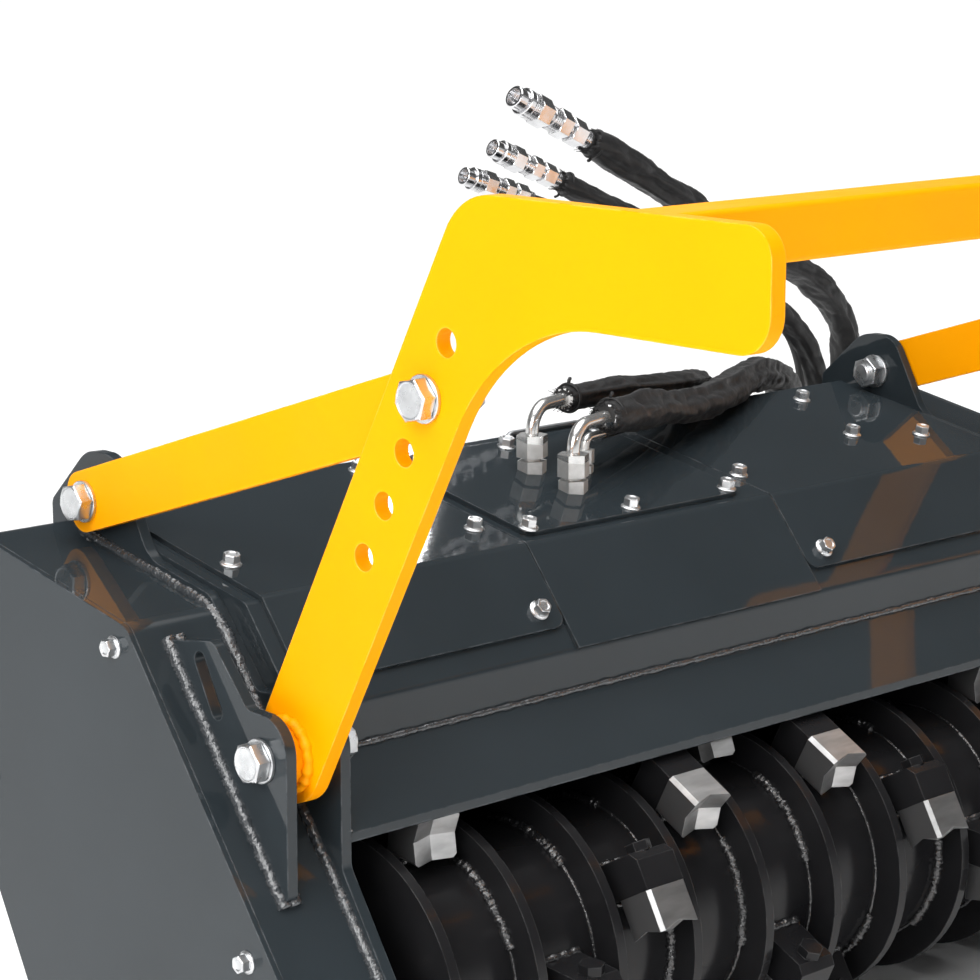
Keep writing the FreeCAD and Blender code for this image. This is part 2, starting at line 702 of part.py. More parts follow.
def cutter():
    """One crowned cutter, drawn at the drum's front with its tips down."""
    tips = -TOOTH_SEAT - TOOTH_LENGTH
    block = Part.makeBox(
        TOOTH_WIDTH, TOOTH_HEIGHT, TOOTH_LENGTH, vec(-TOOTH_WIDTH / 2, -TOOTH_OUT, tips)
    )
    upright = [e for e in block.Edges if abs(e.tangentAt(0).z) > 0.9]
    block = block.makeChamfer(TOOTH_CHAMFER, upright)
    return block.cut(moved(crown_hollow(), 0, TOOTH_HEIGHT / 2 - TOOTH_OUT, tips))


def holder():
    """The block behind a cutter, with the head of the bolt that goes through into it."""
    root = DRUM_R - DRUM_WALL / 2
    shape = Part.makeBox(
        HOLDER_WIDTH, HOLDER_OUT - root, HOLDER_LENGTH, vec(-HOLDER_WIDTH / 2, -HOLDER_OUT, -TOOTH_SEAT)
    )
    back = HOLDER_LENGTH - TOOTH_SEAT
    rear_edge = [
        e for e in shape.Edges
        if abs(e.CenterOfMass.y + HOLDER_OUT) < CUT and abs(e.CenterOfMass.z - back) < CUT
    ]
    shape = shape.makeChamfer(HOLDER_CHAMFER, rear_edge)
    head = stack(vec(0, -TOOTH_BOLT_R, back), vec(0, 0, 1), [("hex", TOOTH_BOLT_AF, TOOTH_BOLT_HEAD)])
    return fuse(shape, head)


def drum():
    """The tube with its end discs, the ring discs between them, the stub shafts and the holders."""
    tube = ring(0, 0, DRUM_R, DRUM_R - DRUM_WALL, -DRUM_HALF, DRUM_HALF)
    pieces = []
    for i in range(DISC_COUNT):
        x = -DRUM_HALF + i * DISC_PITCH
        if i in (0, DISC_COUNT - 1):
            pieces.append(rod(0, 0, DISC_R, x, x + DISC_T))
        else:
            pieces.append(ring(0, 0, DISC_R, DRUM_R - DRUM_WALL / 2, x, x + DISC_T))
    shaft_end = SIDE_OUT + SHAFT_END
    pieces.append(rod(0, 0, SHAFT_R, DRUM_HALF - DISC_T / 2, shaft_end))
    pieces.append(rod(0, 0, SHAFT_R, -shaft_end, -DRUM_HALF + DISC_T / 2))
    turned = [moved(piece, 0, DRUM_Y, DRUM_Z) for piece in [tube] + pieces]
    block = holder()
    turned += [place_on_drum(block, x, a) for x, a in tooth_places()]
    return turned[0].fuse(turned[1:])


def teeth():
    one = cutter()
    return Part.Compound([place_on_drum(one, x, a) for x, a in tooth_places()])


def motor():
    body = rod(MOTOR_Y, MOTOR_Z, MOTOR_R, MOTOR_X0, MOTOR_X1)
    depth = REAR_WALL_Y - REAR_WALL_T - MOTOR_Y
    middle = (MOTOR_X0 + MOTOR_X1) / 2
    corner = vec(middle - MOTOR_FOOT_WIDTH / 2, MOTOR_Y, MOTOR_Z - MOTOR_FOOT_HEIGHT / 2)
    return fuse(body, Part.makeBox(MOTOR_FOOT_WIDTH, depth, MOTOR_FOOT_HEIGHT, corner))


def swept(places, runs, r):
    """A round bar along a path of lines and tangent arcs, with the path's length."""
    path = Part.Wire(path_edges(places, runs, False))
    circle = Part.Wire(Part.Circle(places[0], places[1] - places[0], r).toShape())
    return path.makePipeShell([circle], True, False), path.Length


def port(x, y, height, reach, turn, tube_r):
    """A hex adapter and nut that stand on the hatch, and an elbow that turns towards the hose."""
    size = SMALL_PORT if tube_r < PORTS[0][5] else 1.0
    base = hood_level(y) - PORT_BASE
    rows = [
        ("hex", PORT_HEX_AF, PORT_HEX_H + (PORT_BASE + HATCH_T) / size),
        ("round", 2 * PORT_STEM_R, PORT_STEM_H),
        ("hex", PORT_HEX_AF + 2, PORT_NUT_H),
    ]
    body = stack(vec(x, y, base), vec(0, 0, 1), rows, size)
    nut_top = body.BoundBox.ZMax
    depth = 4 * PORT_HEX_AF
    below = Part.makeBox(HATCH_WIDTH, HATCH_LENGTH, depth, vec(HATCH_X, HATCH_UP, HATCH_T - depth))
    body = body.cut(on_hood(below))
    end = vec(x + reach * cos(turn), y + reach * sin(turn), height)
    places = [vec(x, y, nut_top - CUT), vec(x, y, height), end]
    run = min(ELBOW_R, height - nut_top - 2 * CUT, reach - CUT)
    elbow, length = swept(places, [0, run, 0], tube_r)
    return fuse(body, elbow)


def hose(name, route, diameter):
    """A hose along its route, each bend as large as the two runs beside it allow."""
    places = [vec(*row) for row in route]
    runs = [0.0]
    radii = []
    for before, here, after in zip(places, places[1:], places[2:]):
        a, b = before - here, after - here
        run = 0.45 * min(a.Length, b.Length)
        runs.append(run)
        radii.append(round(run * math.tan(a.getAngle(b) / 2)))
    runs.append(0.0)
    shape, length = swept(places, runs, diameter / 2)
    solid = shape.Volume / (math.pi * diameter ** 2 / 4 * length)
    print(f"{name}: length {length:.0f}, volume over section times length {solid:.4f}, bend radii {radii}")
    return shape


def coupler(route, size):
    """The coupler in line with a hose's last run."""
    end = vec(*route[-1])
    return stack(end, end - vec(*route[-2]), COUPLER, size)


nodes = {}
for side, flip in (("right", lambda s: s), ("left", mirrored)):
    nodes["side_plate_" + side] = flip(side_plate())
    nodes["drive_box_" + side] = flip(drive_box())
    nodes["drive_cover_" + side] = flip(drive_cover())
    nodes["lug_" + side] = flip(lug())
    nodes["push_arm_" + side] = flip(push_arm())
    nodes["brace_" + side] = flip(brace())
    nodes["pivot_bolt_" + side] = flip(bolt(0, 0, SIDE_IN, LUG_OUT))
    nodes["brace_bolt_" + side] = flip(bolt(*brace_bolt_place(), BRACE_IN, ARM_OUT))
    nodes["ear_bolt_" + side] = flip(bolt(EAR_Y, EAR_Z, SIDE_IN, BRACE_OUT, (SIDE_OUT, BRACE_IN)))
    nodes["skid_shoe_" + side] = flip(skid_shoe())
    nodes["bearing_housing_" + side] = flip(bearing_housing())
    nodes["loader_gusset_" + side] = flip(loader_gusset(LOADER_HALF - GUSSET_INSET - GUSSET_T))
nodes["push_bar"] = push_bar()
nodes["hood_panel_left"] = hood_panel(-PANEL_HALF, SEAM_LEFT - SEAM_GAP / 2)
nodes["hood_panel_centre"] = centre_panel(SEAM_LEFT + SEAM_GAP / 2, SEAM_RIGHT - SEAM_GAP / 2)
nodes["hood_panel_right"] = hood_panel(SEAM_RIGHT + SEAM_GAP / 2, PANEL_HALF)
nodes["hatch"] = hatch()
nodes["hood_frame"] = hood_frame()
nodes["deflector"] = deflector()
nodes["rotor_hood"] = rotor_hood()
nodes["rear_wall"] = rear_wall()
nodes["loader_plate"] = loader_plate()
nodes["motor"] = motor()
nodes["drum"] = drum()
nodes["teeth"] = teeth()
nodes["ports"] = Part.Compound([port(*row) for row in PORTS])

# The frame stands on the floor, its origin under the middle of the machine without its hoses
y_low = min(s.BoundBox.YMin for s in nodes.values())
y_high = max(s.BoundBox.YMax for s in nodes.values())
middle = (y_low + y_high) / 2

nodes["hose_front"] = hose("front hose", FRONT_ROUTE, FRONT_HOSE_D)
nodes["hose_rear"] = hose("rear hose", REAR_ROUTE, REAR_HOSE_D)
nodes["hose_drain"] = hose("drain hose", DRAIN_ROUTE, DRAIN_HOSE_D)
nodes["coupler_front"] = coupler(FRONT_ROUTE, 1.0)
nodes["coupler_rear"] = coupler(REAR_ROUTE, SMALL_COUPLER)
nodes["coupler_drain"] = coupler(DRAIN_ROUTE, SMALL_COUPLER)

os.makedirs("parts", exist_ok=True)
for name, shape in nodes.items():
    shape.translate(vec(0, -middle, PIVOT_HEIGHT))
    if not shape.isValid():
        print("not valid:", name)
    shape.exportStep("parts/" + name + ".step")
    b = shape.BoundBox
    print(f"{name:24s} solids {len(shape.Solids):3d}  volume {shape.Volume / 1e6:8.3f} l  "
          f"x {b.XMin:7.1f} {b.XMax:7.1f}  y {b.YMin:7.1f} {b.YMax:7.1f}  z {b.ZMin:7.1f} {b.ZMax:7.1f}")
print("moved back by", -middle)
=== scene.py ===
import math
import random

import bpy
from mathutils import Euler, Matrix, Quaternion, Vector, noise


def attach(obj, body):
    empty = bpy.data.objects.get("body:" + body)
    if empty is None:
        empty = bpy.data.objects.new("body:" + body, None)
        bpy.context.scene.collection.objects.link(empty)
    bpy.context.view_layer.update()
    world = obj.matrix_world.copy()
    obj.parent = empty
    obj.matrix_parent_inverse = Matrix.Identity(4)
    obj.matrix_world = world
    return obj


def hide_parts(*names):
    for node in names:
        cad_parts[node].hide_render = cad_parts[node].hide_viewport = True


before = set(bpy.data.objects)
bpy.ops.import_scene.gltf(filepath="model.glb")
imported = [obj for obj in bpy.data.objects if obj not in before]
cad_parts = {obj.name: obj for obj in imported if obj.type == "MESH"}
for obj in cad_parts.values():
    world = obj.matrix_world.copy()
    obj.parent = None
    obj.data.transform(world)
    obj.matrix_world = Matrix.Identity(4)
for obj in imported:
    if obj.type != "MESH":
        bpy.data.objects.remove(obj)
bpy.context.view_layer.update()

random.seed(7)

# Camera: the photograph's view. Its place is in the frame's metres, its turn and tilt in degrees.
CAMERA_PLACE = (-2.21824, -1.992, 1.293)
CAMERA_TURN, CAMERA_TILT = -41.7044, -11.8008
LENS_MM, SENSOR_MM = 102.857, 36.0

# Sizes in millimetres from the push arm's lower pivot bolt, as in the solids' source
SIDE_IN, SIDE_OUT, COVER_OUT = 608.5, 620.5, 728.5
LUG_IN, LUG_OUT = 676.5, 688.5
BRACE_IN, ARM_IN, ARM_OUT = 624.5, 640.5, 656.5
BEARING_FACE, BEARING_CIRCLE, BEARING_BOLTS = 590.5, 84.0, 6
BEND_Y, BEND_Z, TOP_SLOPE, FRONT_SLOPE = 126.0, 120.5, 10.2, 40.0
HATCH_T = 6.0
BOX_BEND_Y, BOX_BEND_Z, BOX_SLOPE = 163.0, 106.0, 38.6
BAR_Y, BAR_Z = (-497.0, -445.0), (508.0, 552.0)

# The push frame's bolts: y, z, and the distance over their flats
PIVOT_BOLT, BRACE_BOLT, EAR_BOLT = (0, 0), (-203.8, 370.7), (361, 187)
BIG_FLATS = 36.0
COS_30 = math.cos(math.pi / 6)

# Small bolts on the hood panels and the hatch: x, y
PANEL_BOLTS = [
    (-567, 208), (-259, 183), (-567, 378), (-262, 378), (165, 190), (518, 205), (174, 378), (470, 366),
    (425, 240),
]
HATCH_BOLTS = [(-211, 148), (-54, 149), (101, 149), (-205, 364), (-51, 361), (101, 364)]
# Small bolts on the sloped front of the hood panels: x, y, z
FLANGE_BOLTS = [(-562, 75, 60), (-262, 75.4, 60.2), (189, 74.5, 59.1), (562, 75, 60)]
# Small bolts round a drive cover: y, z
COVER_BOLTS = [
    (183, 82), (-26, -184), (-150, -400), (20, -462), (200, -462), (325, -345), (430, -110), (430, 125),
]

# The thin pipe at the hood's rear edge: x, y, z of its route, its radius in metres, and x, y of its clips
PIPE_ROUTE = [
    (-18, 398, 158), (-18, 399, 168), (-9, 400, 174), (120, 400, 174), (129, 399, 168), (129, 398, 158),
]
PIPE_RADIUS = 0.0034
PIPE_CLIPS = [(-40, 378), (182, 378)]

# The drum's axis and tube, its discs, its tooth holders, and the broad stitches of weld on its discs
DRUM_Y, DRUM_Z, DRUM_R, DRUM_HALF = 40.0, -280.0, 130.0, 552.5
DISC_COUNT, DISC_PITCH, DISC_T = 11, 109.3, 12.0
HOLDER_HALF_WIDTH, HOLDER_FRONT, HOLDER_BACK = 26.0, -5.0, 36.0
APEX_GAP, APEX_ANGLE, TOOTH_STEP, TEETH_ROUND = 4, 96.0, 33.0, 3
STITCH_ANGLE, STITCH_SWEEP, STITCH_DISC_STEP, STITCH_FACE_STEP = 20.0, 52.0, 29.0, 17.0

# Coupler from the hose outwards: kind of section, width over it, length
COUPLER = [
    ("groove", 24, 14), ("hex", 32, 24), ("round", 26, 7), ("hex", 34, 20), ("groove", 33, 14),
    ("round", 30, 6), ("hex", 36, 24), ("groove", 38, 12), ("round", 38, 10), ("round", 30, 16),
]
SMALL_COUPLER = 0.8
COUPLER_CHAMFER, RIB_PITCH, RIB_SHARE, BORE_WALL, BORE_DEPTH = 1.2, 3.2, 0.72, 4.0, 12.0

# Hoses: routes in millimetres from the pivot bolt
FRONT_ROUTE = [
    (-6, 240, 216), (76, 265, 211), (207, 312, 192), (322, 362, 190), (422, 420, 194), (504, 456, 184),
    (574, 494, 156), (620, 530, 104), (636, 566, 32), (662, 590, -34), (722, 611, -67), (792, 635, -66),
    (852, 656, -30), (894, 670, 31), (910, 674, 108), (904, 670, 186), (824, 668, 268), (684, 666, 324),
    (544, 664, 394), (463, 661, 440), (362, 660, 488),
]
REAR_ROUTE = [
    (-12, 305, 229), (66, 326, 225), (156, 348, 217), (266, 380, 206), (338, 428, 196), (396, 480, 172),
    (440, 522, 124), (465, 540, 56), (494, 543, 4), (542, 544, -26), (598, 547, -31), (651, 549, -10),
    (690, 551, 31), (714, 552, 88), (711, 552, 150), (662, 553, 226), (566, 562, 282), (459, 580, 343),
    (353, 598, 403), (257, 604, 445),
]
DRAIN_ROUTE = [
    (18, 268, 190), (84, 290, 189), (160, 320, 186), (230, 358, 188), (290, 410, 186), (344, 470, 164),
    (386, 528, 112), (420, 572, 48), (472, 602, -26), (534, 613, -80), (604, 621, -104), (672, 630, -98),
    (731, 638, -63), (768, 643, -5), (782, 646, 64), (786, 649, 132), (762, 654, 192), (715, 657, 228),
    (645, 662, 264), (549, 668, 317), (442, 678, 360), (367, 686, 387), (291, 692, 412),
]
# Hose diameters in millimetres and lengths in metres
FRONT_HOSE, REAR_HOSE, DRAIN_HOSE = (26.0, 1.920), (21.0, 1.543), (14.0, 1.744)


def place(x, y, z):
    """A point in millimetres from the pivot bolt, in the frame's metres."""
    return Vector((x / 1000, (y + 50) / 1000, (z + 500) / 1000))


def add_camera():
    data = bpy.data.cameras.new("camera")
    data.lens = LENS_MM
    data.sensor_width = SENSOR_MM
    camera = bpy.data.objects.new("camera", data)
    bpy.context.collection.objects.link(camera)
    turn = Euler((math.radians(90 + CAMERA_TILT), 0, math.radians(CAMERA_TURN)))
    camera.matrix_world = Matrix.Translation(CAMERA_PLACE) @ turn.to_matrix().to_4x4()
    bpy.context.scene.camera = camera


def hose_curve(name, route, diameter):
    """A hose as a curve, and the points of its middle line. Each point of the curve carries the radius."""
    data = bpy.data.curves.new(name, "CURVE")
    data.dimensions = "3D"
    spline = data.splines.new("NURBS")
    spline.points.add(len(route) - 1)
    for point, row in zip(spline.points, route):
        point.co = (*place(*row), 1)
        point.radius = diameter / 2000
    spline.order_u = 3
    spline.use_endpoint_u = True
    data.resolution_u = 12
    obj = bpy.data.objects.new(name, data)
    bpy.context.collection.objects.link(obj)
    bare = bpy.data.meshes.new_from_object(obj)
    line = [v.co.copy() for v in bare.vertices]
    bpy.data.meshes.remove(bare)
    data.bevel_depth = 1.0
    data.bevel_resolution = 6
    data.use_fill_caps = True
    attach(obj, "housing")
    return obj, line


add_camera()
front_hose, front_line = hose_curve("front_hose", FRONT_ROUTE, FRONT_HOSE[0])
rear_hose, rear_line = hose_curve("rear_hose", REAR_ROUTE, REAR_HOSE[0])
drain_hose, drain_line = hose_curve("drain_hose", DRAIN_ROUTE, DRAIN_HOSE[0])
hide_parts("hose_front")
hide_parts("hose_rear")
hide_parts("hose_drain")


def link_math(mat, operation, a, b=None, clamp=False):
    """A Math node; a and b are sockets or numbers."""
    node = mat.node_tree.nodes.new("ShaderNodeMath")
    node.operation = operation
    node.use_clamp = clamp
    for socket, value in zip(node.inputs, (a, b)):
        if isinstance(value, (int, float)):
            socket.default_value = value
        elif value is not None:
            mat.node_tree.links.new(value, socket)
    return node.outputs[0]


def noise_field(mat, scale, detail=2.0, stretch=(1, 1, 1)):
    """Even noise over the object, about 0.3 to 0.7, stretched along its axes."""
    nodes, links = mat.node_tree.nodes, mat.node_tree.links
    where = nodes.new("ShaderNodeTexCoord")
    mapping = nodes.new("ShaderNodeMapping")
    mapping.inputs["Scale"].default_value = stretch
    grain = nodes.new("ShaderNodeTexNoise")
    grain.inputs["Scale"].default_value = scale
    grain.inputs["Detail"].default_value = detail
    links.new(where.outputs["Object"], mapping.inputs["Vector"])
    links.new(mapping.outputs[0], grain.inputs["Vector"])
    return grain.outputs["Fac"]


def spread(mat, field, low, high, start=0.3, stop=0.7):
    """Maps a field from start..stop to low..high."""
    node = mat.node_tree.nodes.new("ShaderNodeMapRange")
    for name, value in (("From Min", start), ("From Max", stop), ("To Min", low), ("To Max", high)):
        node.inputs[name].default_value = value
    mat.node_tree.links.new(field, node.inputs["Value"])
    return node.outputs[0]


def blend_colours(mat, factor, first, second):
    """Mixes two colours, or a colour and a socket, by a factor socket."""
    node = mat.node_tree.nodes.new("ShaderNodeMix")
    node.data_type = "RGBA"
    for socket, value in ((node.inputs[6], first), (node.inputs[7], second)):
        if isinstance(value, tuple):
            socket.default_value = (*value, 1)
        else:
            mat.node_tree.links.new(value, socket)
    mat.node_tree.links.new(factor, node.inputs[0])
    return node.outputs[2]


def rounded_normal(mat, radius):
    """The normal as if edges were rounded by a radius in metres."""
    rounded = mat.node_tree.nodes.new("ShaderNodeBevel")
    rounded.samples = 4
    rounded.inputs["Radius"].default_value = radius
    return rounded.outputs["Normal"]


def dot_product(mat, first, second):
    """The dot product of a socket with another socket or a vector."""
    node = mat.node_tree.nodes.new("ShaderNodeVectorMath")
    node.operation = "DOT_PRODUCT"
    mat.node_tree.links.new(first, node.inputs[0])
    if isinstance(second, Vector):
        node.inputs[1].default_value = second
    else:
        mat.node_tree.links.new(second, node.inputs[1])
    return node.outputs["Value"]


def lighter_edge_mask(mat, radius, sharpness=2.6):
    """1 on sharp edges and 0 on flat faces, broken up by noise."""
    flat = mat.node_tree.nodes.new("ShaderNodeNewGeometry").outputs["Normal"]
    bent = link_math(mat, "SUBTRACT", 1.0, dot_product(mat, rounded_normal(mat, radius), flat))
    strong = link_math(mat, "MULTIPLY", bent, sharpness)
    broken = spread(mat, noise_field(mat, 60.0, 4.0), 0.0, 1.0, 0.40, 0.62)
    return link_math(mat, "MULTIPLY", strong, broken, clamp=True)


def material(name, colour, roughness, metallic=0.0, specular=0.5, coat=0.0, coat_roughness=0.03, sheen=0.0,
             edge=0.0, bumps=(), tint=None, tint_scale=4.0, rough_spread=0.0, rough_scale=12.0, edge_colour=None):
    """A surface. edge rounds the shaded edges over so many metres, and bumps lists (depth, scale, stretch).
    tint is the colour that the base drifts towards, rough_spread the drift of its roughness, and edge_colour
    the lighter colour painted along sharp edges; on the yellow paint it is a painted highlight."""
    mat = bpy.data.materials.new(name)
    mat.use_nodes = True
    nodes, links = mat.node_tree.nodes, mat.node_tree.links
    shader = nodes["Principled BSDF"]
    for socket, value in (
            ("Base Color", (*colour, 1)), ("Roughness", roughness), ("Metallic", metallic),
            ("Specular IOR Level", specular), ("Coat Weight", coat), ("Coat Roughness", coat_roughness),
            ("Sheen Weight", sheen), ("Sheen Roughness", 0.4)):
        shader.inputs[socket].default_value = value
    base = colour
    if tint:
        base = blend_colours(mat, spread(mat, noise_field(mat, tint_scale, 3.0), 0.0, 1.0), colour, tint)
    # Where a lighter edge colour is given, it is painted along sharp edges. On the yellow paint this is a
    # painted highlight.
    if edge_colour:
        base = blend_colours(mat, lighter_edge_mask(mat, 2 * edge), base, edge_colour)
    if base is not colour:
        links.new(base, shader.inputs["Base Color"])
    if rough_spread:
        field = noise_field(mat, rough_scale, 4.0)
        drift = spread(mat, field, roughness - rough_spread, roughness + rough_spread)
        links.new(drift, shader.inputs["Roughness"])
    normal = rounded_normal(mat, edge) if edge else None
    for depth, scale, stretch in bumps:
        raised = nodes.new("ShaderNodeBump")
        raised.inputs["Strength"].default_value = 1.0
        raised.inputs["Distance"].default_value = depth
        links.new(noise_field(mat, scale, 2.0, stretch), raised.inputs["Height"])
        if normal:
            links.new(normal, raised.inputs["Normal"])
        normal = raised.outputs["Normal"]
    if normal:
        links.new(normal, shader.inputs["Normal"])
        links.new(normal, shader.inputs["Coat Normal"])
    return mat


def steel_faces_and_shaded_sides(mat, bright, rough, side_face=0.86):
    """The ground faces and long edges of the cutters are bright steel. Their sides, whose normals lie
    along the drum to at least side_face, stay dark: partly the cutters' dark paint, partly painted shade."""
    nodes, links = mat.node_tree.nodes, mat.node_tree.links
    shader = nodes["Principled BSDF"]
    where = nodes.new("ShaderNodeTexCoord")
    split = nodes.new("ShaderNodeSeparateXYZ")
    links.new(where.outputs["Normal"], split.inputs[0])
    mask = link_math(mat, "LESS_THAN", link_math(mat, "ABSOLUTE", split.outputs["X"]), side_face)
    sides = tuple(shader.inputs["Base Color"].default_value)[:3]
    scratch = spread(mat, noise_field(mat, 90.0, 3.0, (0.25, 1, 1)), 0.0, 1.0)
    steel = blend_colours(mat, scratch, bright, tuple(0.72 * v for v in bright))
    links.new(blend_colours(mat, mask, sides, steel), shader.inputs["Base Color"])
    links.new(mask, shader.inputs["Metallic"])
    shine = spread(mat, mask, shader.inputs["Roughness"].default_value, rough, 0.0, 1.0)
    links.new(shine, shader.inputs["Roughness"])


def satin_below(mat, height, satin, polished):
    """The turned nuts below a height over the hood are satin, the bent tubes above it are polished."""
    nodes, links = mat.node_tree.nodes, mat.node_tree.links
    where = nodes.new("ShaderNodeTexCoord")
    lean = math.radians(TOP_SLOPE)
    up = Vector((0, -math.sin(lean), math.cos(lean)))
    hood = place(0, BEND_Y, BEND_Z).dot(up)
    step = link_math(mat, "GREATER_THAN", dot_product(mat, where.outputs["Object"], up), hood + height)
    links.new(spread(mat, step, satin, polished, 0.0, 1.0), nodes["Principled BSDF"].inputs["Roughness"])


# Surfaces
EVEN = (1, 1, 1)
DARK = material(
    "slate_paint", (0.020, 0.026, 0.030), 0.35, specular=0.0, coat=0.65, coat_roughness=0.04, edge=0.0015,
    bumps=[(0.00002, 120.0, EVEN), (0.0004, 5.0, EVEN)], tint=(0.024, 0.031, 0.036), rough_spread=0.06,
    edge_colour=(0.10, 0.11, 0.12))
# Yellow paint: the lighter orange along its sharp edges is a painted highlight.
YELLOW = material(
    "yellow_paint", (1.0, 0.372, 0.0), 0.5, specular=0.05, edge=0.0012, bumps=[(0.00002, 90.0, EVEN)],
    tint=(0.97, 0.350, 0.0), tint_scale=5.0, rough_spread=0.08, edge_colour=(1.0, 0.60, 0.12))
BLACK = material(
    "drum_paint", (0.009, 0.009, 0.010), 0.35, specular=0.0, coat=0.45, coat_roughness=0.16, edge=0.001,
    bumps=[(0.00005, 160.0, EVEN), (0.0005, 9.0, EVEN)], tint=(0.014, 0.014, 0.015), tint_scale=7.0,
    rough_spread=0.08, edge_colour=(0.08, 0.08, 0.08))
TEETH = material(
    "tool_steel", (0.045, 0.045, 0.046), 0.4, edge=0.0008, bumps=[(0.00004, 300.0, (0.3, 1, 1))])
# The cutters are coloured by the way each face turns. Their dark sides are partly paint and partly painted
# shade.
steel_faces_and_shaded_sides(TEETH, (0.50, 0.50, 0.50), 0.36)
ZINC = material(
    "zinc", (0.70, 0.71, 0.72), 0.30, metallic=0.92, edge=0.0006, tint=(0.52, 0.53, 0.54), tint_scale=60.0,
    rough_spread=0.08, rough_scale=80.0)
CHROME = material(
    "coupler_chrome", (0.74, 0.74, 0.75), 0.17, metallic=1.0, edge=0.0005, tint=(0.60, 0.60, 0.61),
    tint_scale=60.0, rough_spread=0.05, rough_scale=70.0)
PORT_STEEL = material(
    "port_steel", (0.70, 0.70, 0.69), 0.25, metallic=0.85, edge=0.0005, tint=(0.55, 0.55, 0.54),
    tint_scale=90.0)
satin_below(PORT_STEEL, 0.041, 0.46, 0.20)
DULL_ZINC = material(
    "dull_zinc", (0.42, 0.43, 0.44), 0.42, metallic=1.0, edge=0.0004, bumps=[(0.00005, 260.0, EVEN)],
    tint=(0.30, 0.31, 0.32), tint_scale=50.0, rough_spread=0.08)
WELD = material(
    "painted_weld", (0.030, 0.034, 0.038), 0.16, coat=1.0, coat_roughness=0.03,
    bumps=[(0.0011, 330.0, EVEN)], tint=(0.040, 0.044, 0.048), tint_scale=40.0, rough_spread=0.05)
DRUM_WELD = material(
    "drum_weld", (0.012, 0.012, 0.013), 0.16, coat=1.0, coat_roughness=0.03,
    bumps=[(0.0013, 330.0, EVEN)], tint=(0.020, 0.020, 0.021), tint_scale=40.0, rough_spread=0.05)
YELLOW_WELD = material(
    "yellow_weld", (1.0, 0.360, 0.0), 0.45, specular=0.12, bumps=[(0.0002, 160.0, EVEN)],
    tint=(0.95, 0.32, 0.0), tint_scale=60.0)
RUBBER = material(
    "hose_rubber", (0.012, 0.012, 0.012), 0.5, bumps=[(0.0001, 900.0, EVEN)], tint=(0.018, 0.018, 0.018),
    tint_scale=30.0, rough_spread=0.08)
FABRIC = material(
    "sleeve_fabric", (0.0085, 0.0085, 0.009), 0.5, specular=0.35, sheen=0.04,
    bumps=[(0.0003, 900.0, EVEN), (0.0012, 60.0, EVEN)], tint=(0.016, 0.016, 0.0165), tint_scale=40.0,
    rough_spread=0.10, rough_scale=60.0)
WHITE = material(
    "ferrule", (0.80, 0.80, 0.79), 0.4, bumps=[(0.0001, 300.0, EVEN)], tint=(0.70, 0.70, 0.69),
    tint_scale=120.0)

# The nodes that aren't dark paint
NODE_FINISH = [
    (("push_arm_left", "push_arm_right", "brace_left", "brace_right", "push_bar"), YELLOW),
    (("drum",), BLACK),
    (("teeth",), TEETH),
    (("pivot_bolt_left", "pivot_bolt_right", "brace_bolt_left", "brace_bolt_right", "ear_bolt_left",
      "ear_bolt_right"), ZINC),
    (("ports",), PORT_STEEL),
]


def finish_nodes():
    finish = {name: mat for names, mat in NODE_FINISH for name in names}
    for name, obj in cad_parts.items():
        obj.data.materials.clear()
        obj.data.materials.append(finish.get(name, DARK))


def add_piece(name, shape, mat, body="housing", smooth=True):
    verts, faces = shape
    mesh = bpy.data.meshes.new(name)
    mesh.from_pydata(verts, [], faces)
    mesh.materials.append(mat)
    if smooth:
        mesh.shade_smooth()
    obj = bpy.data.objects.new(name, mesh)
    bpy.context.collection.objects.link(obj)
    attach(obj, body)
    return obj


def even_angles(count):
    return [2 * math.pi * k / count for k in range(count)]


def ring_round(centre, side, up, radius, angles):
    """Points round a centre, in the plane of two directions."""
    return [centre + (side * math.cos(a) + up * math.sin(a)) * radius for a in angles]


def add_rings(shape, rings, closed=False, capped=True):
    """Joins rings of points, each with the same count, into a skin."""
    verts, faces = shape
    first = len(verts)
    n = len(rings[0])
    for ring in rings:
        verts.extend(ring)
    rows = len(rings)
    for j in range(rows if closed else rows - 1):
        a = first + j * n
        b = first + (j + 1) % rows * n
        for k in range(n):
            m = (k + 1) % n
            faces.append((a + k, a + m, b + m, b + k))
    if capped and not closed:
        faces.append(tuple(first + k for k in range(n))[::-1])
        last = first + (rows - 1) * n
        faces.append(tuple(last + k for k in range(n)))


def resample(line, step, closed=False):
    """Points at even steps along a line."""
    ends = line + line[:1] if closed else line
    lengths = [(b - a).length for a, b in zip(ends, ends[1:])]
    total = sum(lengths)
    count = max(2, round(total / step))
    out = []
    i, run = 0, 0.0
    for k in range(count if closed else count + 1):
        s = total * k / count
        while i < len(lengths) - 1 and run + lengths[i] < s:
            run += lengths[i]
            i += 1
        t = (s - run) / lengths[i] if lengths[i] else 0.0
        out.append(ends[i].lerp(ends[i + 1], min(t, 1.0)))
    return out


def frames_along(line, closed=False):
    """The direction of a line at each point and two side directions, carried along without twist."""
    n = len(line)
    tangents = []
    for i in range(n):
        before = line[i - 1] if i or closed else line[0]
        after = line[(i + 1) % n] if i < n - 1 or closed else line[-1]
        tangents.append((after - before).normalized())
    start = tangents[0].cross(Vector((0, 0, 1)))
    if start.length < 0.1:
        start = tangents[0].cross(Vector((0, 1, 0)))
    side = start.normalized()
    out = []
    for i, t in enumerate(tangents):
        if i:
            side = (tangents[i - 1].rotation_difference(t)) @ side
            side = (side - t * side.dot(t)).normalized()
        out.append((t, side, side.cross(t).normalized()))
    return out


def add_tube(shape, line, radius, angles, closed=False):
    """A bar of even section along a line, with a corner at each angle."""
    frames = frames_along(line, closed)
    add_rings(shape, [ring_round(p, u, v, radius, angles) for p, (_, u, v) in zip(line, frames)], closed)


